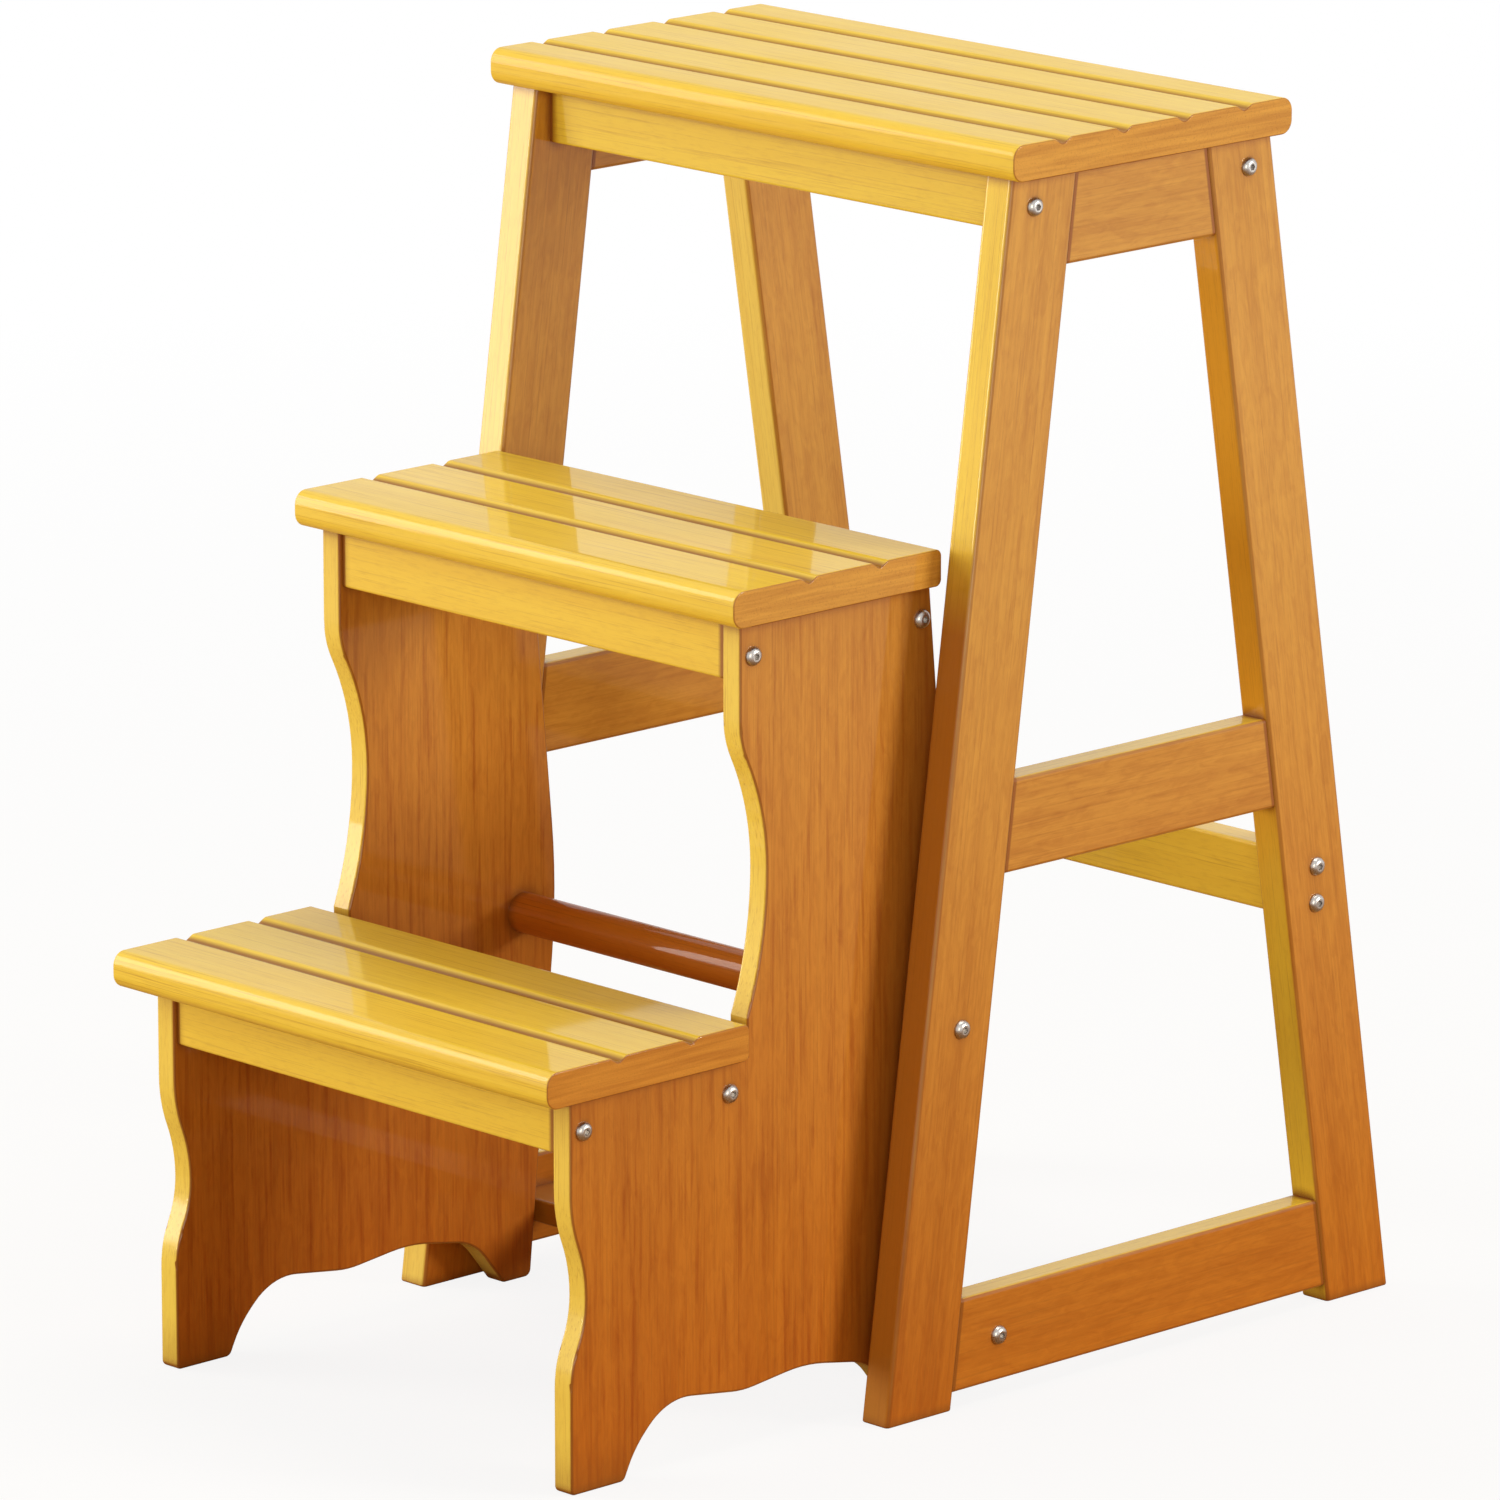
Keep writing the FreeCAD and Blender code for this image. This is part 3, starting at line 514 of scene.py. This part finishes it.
    def _figure(self, bench: NodeBench, surface: Surface) -> Socket:
        """Share of the darker tone: broad figure, year rings and fine streaks.

        Args:
            bench: The material's bench.
            surface: Sockets of the board's surface.

        Returns:
            The socket with the share.
        """
        patterns = self.patterns
        broad = bench.product(bench.share(surface.along, patterns.broad), patterns.broad_weight)
        rings = bench.product(bench.share(surface.along, patterns.rings), patterns.rings_weight)
        fine = bench.product(bench.share(surface.along, patterns.fine), patterns.fine_weight)
        mixed = bench.maths("ADD", bench.maths("ADD", broad, rings), fine)
        return bench.maths("MULTIPLY", mixed, self.figure, clamp=True)

    def _side_figure(self, bench: NodeBench, surface: Surface, figure: Socket, grain: Grain) -> Socket:
        """Share of the darker tone on side faces: streaks on a board's side, wavy lines on its end.

        Args:
            bench: The material's bench.
            surface: Sockets of the board's surface.
            figure: Share of the darker tone on the edges.
            grain: Direction of the board's grain.

        Returns:
            The socket with the share.
        """
        if grain is Grain.ACROSS:
            return bench.product(bench.share(surface.along, self.patterns.end_waves), self.end_contrast)
        streaks = bench.product(bench.share(surface.along, self.patterns.streaks), self.streaks)
        mottle = bench.product(bench.share(surface.along, self.patterns.mottle), self.mottle)
        added = bench.maths("ADD", streaks, mottle)
        return bench.maths("ADD", bench.product(figure, self.side_contrast), added, clamp=True)

    def _pores(self, bench: NodeBench, surface: Surface) -> Socket:
        """Share of the dark tone in fine long pores and in short flecks.

        Args:
            bench: The material's bench.
            surface: Sockets of the board's surface.

        Returns:
            The socket with the share.
        """
        pores = bench.product(bench.share(surface.along, self.patterns.long_pores), self.pores)
        flecks = bench.product(bench.share(surface.along, self.patterns.short_flecks), self.flecks)
        return bench.maths("ADD", pores, flecks, clamp=True)

    def _occluded_stain_and_shade(self, bench: NodeBench, reach: float, most: float) -> Socket:
        """Share of the brown stain and painted shade in joints, grooves, creases and near a neighbouring
        piece.

        Args:
            bench: The material's bench.
            reach: How near the neighbour has to be.
            most: Share in a closed corner.

        Returns:
            The socket with the share.
        """
        node = bench.add("ShaderNodeAmbientOcclusion", {"Distance": reach}, samples=self.corner_samples)
        return bench.product(bench.spread(node.outputs["AO"], self.closed_span), most)

    def _seam_share(self, bench: NodeBench, surface: Surface, seams: tuple[Seam, ...]) -> Socket:
        """Share of the dark line where a bar's ends meet its neighbours.

        Args:
            bench: The material's bench.
            surface: Sockets of the board's surface.
            seams: Planes in which the ends meet the neighbours.

        Returns:
            The socket with the share.
        """
        share = 0.0
        for seam in seams:
            start = {0: surface.place, 1: seam.point}
            offset = bench.add("ShaderNodeVectorMath", start, operation="SUBTRACT").outputs[0]
            across = bench.add("ShaderNodeVectorMath", {0: offset, 1: seam.inward}, operation="DOT_PRODUCT")
            line = bench.spread(across.outputs["Value"], (seam.width, seam.width * self.seam_core))
            share = bench.maths("MAXIMUM", line, share)
        return bench.product(share, self.seam_stain)

    def _groove_share(self, bench: NodeBench, surface: Surface, grooves: Grooves) -> Socket:
        """Share of the stain and painted shade that lie in the grooves, darkest at their floor.

        Args:
            bench: The material's bench.
            surface: Sockets of the board's surface.
            grooves: Place of the board's grooves.

        Returns:
            The socket with the share.
        """
        below_top = bench.maths("SUBTRACT", grooves.top, surface.spot["Z"])
        deep = bench.spread(below_top, self.groove_depth_span)
        behind_nose = bench.maths("GREATER_THAN", surface.spot["Y"], grooves.front)
        before_back = bench.maths("LESS_THAN", surface.spot["Y"], grooves.back)
        upward = bench.spread(surface.facing["Z"], self.groove_facing_span)
        return bench.product(behind_nose, before_back, upward, deep, self.groove_stain_and_shade)

    def _edge_line_stain_and_shade(self, bench: NodeBench, surface: Surface) -> Socket:
        """Share of the dark line along a side face at the rounded edge, partly stain and partly painted
        shade.

        Args:
            bench: The material's bench.
            surface: Sockets of the board's surface.

        Returns:
            The socket with the share.
        """
        inner = bench.spread(surface.facing["X"], self.line_inner_span)
        outer = bench.spread(surface.facing["X"], self.line_outer_span)
        return bench.product(inner, outer, self.edge_line_stain_and_shade)

    def _wear(self, bench: NodeBench, surface: Surface) -> Socket:
        """Share of the paler worn tone on rounded edges, in patches.

        Args:
            bench: The material's bench.
            surface: Sockets of the board's surface.

        Returns:
            The socket with the share.
        """
        facing = surface.facing
        flatness = bench.maths("MAXIMUM", facing["X"], bench.maths("MAXIMUM", facing["Y"], facing["Z"]))
        rounded = bench.spread(flatness, self.rounding_span)
        return bench.product(rounded, bench.share(surface.along, self.patterns.worn_patches), self.wear)

    def _relief(self, bench: NodeBench, surface: Surface) -> Socket:
        """Open pores under the varnish and the slow waves of a brushed coat.

        Args:
            bench: The material's bench.
            surface: Sockets of the board's surface.

        Returns:
            The socket with the normal.
        """
        pores = bench.product(bench.noise(surface.along, self.patterns.open_pores), self.pore_height)
        height = bench.maths("ADD", pores, bench.noise(surface.along, self.patterns.coat_waves))
        inputs = {"Height": height, "Strength": self.relief_strength, "Distance": self.relief_depth}
        return bench.add("ShaderNodeBump", inputs).outputs[0]

    def _roughness(self, bench: NodeBench, surface: Surface) -> Socket:
        """Roughness of the wood under the coat, with slow cloudy changes."""
        clouds = self.patterns.coat_clouds
        return bench.spread(bench.noise(surface.along, clouds), clouds.span, self.wood_roughness)


@dataclass(frozen=True)
class PlatedSteel:
    """Bright plated steel of the screw heads, with fine scratches and a few darker stains."""

    colour: Colour = (0.52, 0.50, 0.48)
    stain: Colour = (0.26, 0.23, 0.21)
    stain_share: float = 0.5
    stains: Pattern = Pattern((900.0, 900.0, 900.0), 3.0, 0.6, span=(0.52, 0.75))
    scratches: Pattern = Pattern((500.0, 4200.0, 1600.0), 2.0, 0.6, span=(0.3, 0.7))
    roughness: Span = (0.2, 0.38)
    scratch_strength: float = 0.15
    scratch_depth: float = 0.0002

    def material(self, name: str) -> bpy.types.Material:
        """Make the steel.

        Args:
            name: Name of the material.

        Returns:
            The material.
        """
        bench = NodeBench.for_material(name)
        place = bench.add("ShaderNodeTexCoord").outputs["Object"]
        scratches = bench.noise(place, self.scratches)
        relief = {"Height": scratches, "Strength": self.scratch_strength, "Distance": self.scratch_depth}
        stains = bench.product(bench.share(place, self.stains), self.stain_share)
        shader = bench.add(
            "ShaderNodeBsdfPrincipled",
            {
                "Base Color": bench.blend(stains, self.colour, self.stain),
                "Metallic": 1.0,
                "Roughness": bench.spread(scratches, self.scratches.span, self.roughness),
                "Normal": bench.add("ShaderNodeBump", relief).outputs[0],
            },
        )
        return bench.finish(shader)


@dataclass(frozen=True)
class RawDowelWood:
    """Unfinished pale wood of the hidden dowels."""

    light: Colour = (0.70, 0.52, 0.32)
    dark: Colour = (0.52, 0.35, 0.19)
    streaks: Pattern = Pattern((300.0, 300.0, 300.0), 3.0, 0.6)
    roughness: float = 0.7

    def material(self, name: str) -> bpy.types.Material:
        """Make the raw wood.

        Args:
            name: Name of the material.

        Returns:
            The material.
        """
        bench = NodeBench.for_material(name)
        place = bench.add("ShaderNodeTexCoord").outputs["Object"]
        colour = bench.blend(bench.noise(place, self.streaks), self.light, self.dark)
        shader = bench.add("ShaderNodeBsdfPrincipled", {"Base Color": colour, "Roughness": self.roughness})
        return bench.finish(shader)


class Varnish(Enum):
    """The varnish of each kind of wooden piece. Some carry painted shade or a painted highlight."""

    PLAIN = HoneyVarnish()
    # Painted shade: the yellow faces deepen below 0.44 m, and the side faces deepen more towards the floor.
    SHADED = HoneyVarnish(painted_shade_span=(0.44, 0.39), painted_low_shade_tint=(0.80, 0.47, 0.24))
    # Painted shade: the yellow faces deepen above 0.18 m, fully from 0.31 m.
    PAINTED_SHADE_HIGH = HoneyVarnish(painted_shade_span=(0.18, 0.31), painted_shade_edge=(0.70, 0.30, 0.018), painted_shade_share=0.82)
    # Paler yellow edges: a painted highlight.
    PAINTED_HIGHLIGHT = HoneyVarnish(edge_light=(0.88, 0.680, 0.130), edge_dark=(0.72, 0.460, 0.065))
    # Deeper yellow edges: painted shade under the seat's nose.
    APRON = HoneyVarnish(edge_light=(0.85, 0.640, 0.050), edge_dark=(0.66, 0.395, 0.023))
    SEAT = HoneyVarnish(side_light_with_shade=(0.73, 0.395, 0.060), figure=0.46, pores=0.46, flecks=0.08, gloss=0.36)
    TREAD = HoneyVarnish(side_light_with_shade=(0.73, 0.395, 0.060), figure=0.46, pores=0.46, flecks=0.08, gloss=0.50)
    PANEL = HoneyVarnish(
        edge_light=(0.92, 0.715, 0.110),
        edge_dark=(0.74, 0.455, 0.052),
        side_light_with_shade=(0.73, 0.365, 0.050),
        side_dark_with_shade=(0.43, 0.145, 0.013),
        side_contrast=1.3,
        streaks=0.40,
        # A stronger dark edge line, partly painted shade, and painted contact shade near the legs.
        edge_line_stain_and_shade=0.75,
        painted_contact_shade=0.50,
    )
    TURNED = HoneyVarnish(
        edge_light=(0.62, 0.20, 0.014),
        edge_dark=(0.40, 0.10, 0.006),
        side_light_with_shade=(0.60, 0.19, 0.014),
        side_dark_with_shade=(0.36, 0.09, 0.006),
        pore=(0.16, 0.04, 0.004),
        worn=(0.62, 0.24, 0.04),
        gloss=0.5,
    )


class Ends(Enum):
    """How the ends of a wooden piece meet its neighbours."""

    FREE = "without a dark line"
    BETWEEN_UPRIGHTS = "square, between two uprights"
    BETWEEN_LEGS = "cut to the lean of the front and back leg"


@dataclass(frozen=True)
class Board:
    """How one wooden piece is finished."""

    grain: Grain
    varnish: Varnish
    ends: Ends = Ends.FREE
    grooved: bool = False


@dataclass
class WoodenUnit:
    """Pieces that ride on one body.

    Attributes:
        nodes: The frame's nodes by name.
        steel: Material of the fittings.
        raw: Material of the dowels.
        boards: The varnished pieces, each with its finish.
        fittings: Names of the steel pieces.
        dowels: Names of the raw wooden pieces.
        first_seed: Seed of the first board. Each next board has the next number.
    """

    nodes: dict[str, bpy.types.Object]
    steel: bpy.types.Material
    raw: bpy.types.Material
    boards: dict[str, Board] = field(default_factory=dict)
    fittings: tuple[str, ...] = ()
    dowels: tuple[str, ...] = ()
    first_seed: int = 1

    def dress(self) -> list[str]:
        """Dress every piece of the unit.

        Returns:
            The names of the pieces.
        """
        for seed, (name, board) in enumerate(self.boards.items(), start=self.first_seed):
            grooves = Grooves.of(name) if board.grooved else None
            seams = self._seams_of(name, board.ends)
            varnish = board.varnish.value
            self._cover(name, varnish.material(name + "_varnish", board.grain, seed, grooves, seams))
        for name in self.fittings:
            self._cover(name, self.steel)
        for name in self.dowels:
            self._cover(name, self.raw)
        return [*self.boards, *self.fittings, *self.dowels]

    def _cover(self, name: str, material: bpy.types.Material) -> None:
        """Give a piece its only material."""
        self.nodes[name].data.materials.clear()
        self.nodes[name].data.materials.append(material)

    @staticmethod
    def _seams_of(name: str, ends: Ends) -> tuple[Seam, ...]:
        """Seams of a piece with its neighbours, if it has any.

        Args:
            name: Name of the piece. A side rail's name starts with its side.
            ends: How its ends meet the neighbours.

        Returns:
            The seams.
        """
        if ends is Ends.BETWEEN_LEGS:
            return Seam.at_legs(name.split("_")[0])
        return Seam.at_ends(name) if ends is Ends.BETWEEN_UPRIGHTS else ()


@dataclass
class StandingFrame(WoodenUnit):
    """Seat on four splayed legs, with rails, aprons, stretcher and cross bar."""

    boards: dict[str, Board] = field(
        default_factory=lambda: {
            "seat_board": Board(Grain.ACROSS, Varnish.SEAT, grooved=True),
            # Painted highlight on the front.
            "left_front_leg": Board(Grain.FRONT_LEG, Varnish.PAINTED_HIGHLIGHT),
            # Painted shade on the lower front.
            "right_front_leg": Board(Grain.FRONT_LEG, Varnish.SHADED),
            # Painted highlight on the front.
            "left_back_leg": Board(Grain.BACK_LEG, Varnish.PAINTED_HIGHLIGHT),
            # Painted shade on the upper front.
            "right_back_leg": Board(Grain.BACK_LEG, Varnish.PAINTED_SHADE_HIGH),
            "left_top_rail": Board(Grain.DEPTH, Varnish.PLAIN, Ends.BETWEEN_LEGS),
            "right_top_rail": Board(Grain.DEPTH, Varnish.PLAIN, Ends.BETWEEN_LEGS),
            "left_middle_rail": Board(Grain.DEPTH, Varnish.PLAIN, Ends.BETWEEN_LEGS),
            "right_middle_rail": Board(Grain.DEPTH, Varnish.PLAIN, Ends.BETWEEN_LEGS),
            "left_bottom_rail": Board(Grain.DEPTH, Varnish.PLAIN, Ends.BETWEEN_LEGS),
            "right_bottom_rail": Board(Grain.DEPTH, Varnish.PLAIN, Ends.BETWEEN_LEGS),
            # Painted shade under the seat's nose.
            "front_apron": Board(Grain.ACROSS, Varnish.APRON, Ends.BETWEEN_UPRIGHTS),
            "back_apron": Board(Grain.ACROSS, Varnish.PLAIN, Ends.BETWEEN_UPRIGHTS),
            "back_stretcher": Board(Grain.ACROSS, Varnish.PLAIN, Ends.BETWEEN_UPRIGHTS),
            # Painted shade on its yellow faces.
            "bottom_cross_bar": Board(Grain.ACROSS, Varnish.SHADED),
        }
    )
    fittings: tuple[str, ...] = ("seat_apron_screws", "stretcher_screws", "cross_bar_screws")
    dowels: tuple[str, ...] = ("rail_dowels", "seat_dowels")


@dataclass
class StepUnit(WoodenUnit):
    """Two treads on shaped panels, which swing on the round bar's axis."""

    boards: dict[str, Board] = field(
        default_factory=lambda: {
            "left_step_panel": Board(Grain.UPRIGHT, Varnish.PANEL),
            "right_step_panel": Board(Grain.UPRIGHT, Varnish.PANEL),
            "middle_tread": Board(Grain.ACROSS, Varnish.TREAD, grooved=True),
            "lower_tread": Board(Grain.ACROSS, Varnish.TREAD, grooved=True),
            "middle_front_apron": Board(Grain.ACROSS, Varnish.PLAIN, Ends.BETWEEN_UPRIGHTS),
            "middle_back_apron": Board(Grain.ACROSS, Varnish.PLAIN, Ends.BETWEEN_UPRIGHTS),
            "lower_front_apron": Board(Grain.ACROSS, Varnish.PLAIN, Ends.BETWEEN_UPRIGHTS),
            "lower_back_apron": Board(Grain.ACROSS, Varnish.PLAIN, Ends.BETWEEN_UPRIGHTS),
            "pivot_dowel": Board(Grain.ACROSS, Varnish.TURNED),
        }
    )
    fittings: tuple[str, ...] = ("step_screws", "pivot_bolts", "pivot_spacers", "pivot_inserts")
    dowels: tuple[str, ...] = ("tread_dowels",)
    first_seed: int = 31


@dataclass
class PhotoCamera:
    """Camera at the photograph's viewing angle, for a square picture.

    Angles are in degrees, the lens and the sensor in millimetres, and the rest in metres.
    """

    azimuth: float = 46.13
    elevation: float = 13.78
    distance: float = 5.5037
    target: Point = (0.0, 0.0015, 0.2982)
    lens: float = 264.4
    sensor: float = 36.0
    clip_end: float = 50.0

    def make(self) -> None:
        """Create the camera and make it the scene's."""
        data = bpy.data.cameras.new("photo_camera")
        data.lens = self.lens
        data.sensor_width = self.sensor
        data.clip_end = self.clip_end
        camera = bpy.data.objects.new("photo_camera", data)
        bpy.context.scene.collection.objects.link(camera)
        turn, rise = math.radians(self.azimuth), math.radians(self.elevation)
        back = Vector((math.sin(turn) * math.cos(rise), -math.cos(turn) * math.cos(rise), math.sin(rise)))
        camera.location = Vector(self.target) + back * self.distance
        camera.rotation_euler = (-back).to_track_quat("-Z", "Y").to_euler()
        bpy.context.scene.camera = camera


@dataclass(frozen=True)
class SoftBox:
    """One rectangular studio lamp aimed at a point, with lengths in metres."""

    name: str
    place: Point
    size: tuple[float, float]
    watts: float
    colour: Colour
    aim: Point = (0.0, 0.0, 0.3)

    def make(self) -> None:
        """Create the lamp."""
        data = bpy.data.lights.new(self.name, "AREA")
        data.shape = "RECTANGLE"
        data.size, data.size_y = self.size
        data.energy = self.watts
        data.color = self.colour
        lamp = bpy.data.objects.new(self.name, data)
        bpy.context.scene.collection.objects.link(lamp)
        lamp.location = self.place
        direction = Vector(self.aim) - Vector(self.place)
        lamp.rotation_euler = direction.to_track_quat("-Z", "Y").to_euler()


@dataclass
class Studio:
    """White floor and surroundings with soft lamps.

    Attributes:
        floor_size: Side of the square floor.
        ambient: Strength of the surroundings' light on the object.
        ambient_colour: Colour of that light.
        floor_paint: Floor colour that takes light and shadow where the camera sees the floor.
        floor_bounce: Floor colour in the light that the floor throws back onto the object.
        shadow_share: Share of floor_paint near the object. The rest of the floor glows white.
        fade_span: Distances from the middle between which that share falls to nothing.
        lamps: The lamps.
    """

    floor_size: float = 24.0
    ambient: float = 0.25
    ambient_colour: Colour = (1.0, 0.80, 0.62)
    floor_paint: Colour = (0.85, 0.85, 0.85)
    floor_bounce: Colour = (0.42, 0.24, 0.11)
    shadow_share: float = 0.12
    fade_span: Span = (0.45, 2.6)
    lamps: tuple[SoftBox, ...] = (
        SoftBox("left_window", (-3.1, -2.05, 1.5), (1.6, 3.0), 91.0, (1.0, 0.97, 0.88)),
        SoftBox("front_key", (-1.75, -3.2, 0.55), (1.2, 1.0), 36.0, (1.0, 0.97, 0.88)),
        SoftBox("back_right_fill", (2.72, 1.58, 0.95), (0.8, 0.8), 50.0, (1.0, 0.90, 0.78)),
        SoftBox("front_right_fill", (2.6, -2.2, 0.9), (1.4, 1.4), 26.0, (1.0, 0.84, 0.62)),
        SoftBox("top_fill", (0.2, 0.4, 3.2), (1.6, 1.6), 39.0, (1.0, 0.95, 0.85)),
    )

    def make(self) -> None:
        """Create the floor, the world and the lamps."""
        self._floor()
        self._world()
        for lamp in self.lamps:
            lamp.make()

    def _floor(self) -> None:
        """Lay a white floor that keeps a faint shadow."""
        half = self.floor_size / 2
        mesh = bpy.data.meshes.new("studio_floor")
        corners = [(-half, -half, 0.0), (half, -half, 0.0), (half, half, 0.0), (-half, half, 0.0)]
        mesh.from_pydata(corners, [], [(0, 1, 2, 3)])
        floor = bpy.data.objects.new("studio_floor", mesh)
        bpy.context.scene.collection.objects.link(floor)
        bench = NodeBench.for_material("studio_floor_paint")
        rays = bench.add("ShaderNodeLightPath").outputs
        spot = bench.add("ShaderNodeTexCoord").outputs["Object"]
        reach = bench.add("ShaderNodeVectorMath", {0: spot}, operation="LENGTH").outputs["Value"]
        far = bench.spread(reach, self.fade_span)
        mirrored = bench.maths("ADD", rays["Is Glossy Ray"], rays["Is Transmission Ray"], clamp=True)
        white = bench.maths("ADD", bench.product(far, self.shadow_share), 1.0 - self.shadow_share)
        seen = bench.product(rays["Is Camera Ray"], white)
        share = bench.maths("ADD", seen, bench.product(mirrored, far), clamp=True)
        paint = bench.blend(rays["Is Camera Ray"], self.floor_bounce, self.floor_paint)
        matt = bench.add("ShaderNodeBsdfDiffuse", {"Color": paint})
        glow = bench.add("ShaderNodeEmission", {"Color": WHITE, "Strength": 1.0})
        mixed = bench.add("ShaderNodeMixShader", {0: share, 1: matt.outputs[0], 2: glow.outputs[0]})
        mesh.materials.append(bench.finish(mixed))

    def _world(self) -> None:
        """Set white surroundings for the camera and reflections, and a softer light on the object."""
        world = bpy.data.worlds.new("studio_world")
        bpy.context.scene.world = world
        bench = NodeBench(world, "ShaderNodeOutputWorld")
        rays = bench.add("ShaderNodeLightPath").outputs
        seen = bench.maths("ADD", rays["Is Camera Ray"], rays["Is Glossy Ray"])
        seen = bench.maths("ADD", seen, rays["Is Transmission Ray"], clamp=True)
        white = bench.add("ShaderNodeBackground", {"Color": WHITE, "Strength": 1.0})
        soft = bench.add(
            "ShaderNodeBackground", {"Color": (*self.ambient_colour, 1.0), "Strength": self.ambient}
        )
        bench.finish(bench.add("ShaderNodeMixShader", {0: seen, 1: soft.outputs[0], 2: white.outputs[0]}))


def main() -> None:
    """Load the fixed frame, dress every piece and set up the studio."""
    logging.basicConfig(level=logging.INFO, format="%(name)s: %(message)s")
    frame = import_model()
    bpy.context.scene.view_settings.view_transform = "Standard"
    PhotoCamera().make()
    steel = PlatedSteel().material("plated_steel")
    raw = RawDowelWood().material("raw_dowel_wood")
    for unit in (StandingFrame(frame["nodes"], steel, raw), StepUnit(frame["nodes"], steel, raw)):
        for name in unit.dress():
            LOG.info("dressed %s", name)
    Studio().make()


if __name__ == "__main__":
    main()
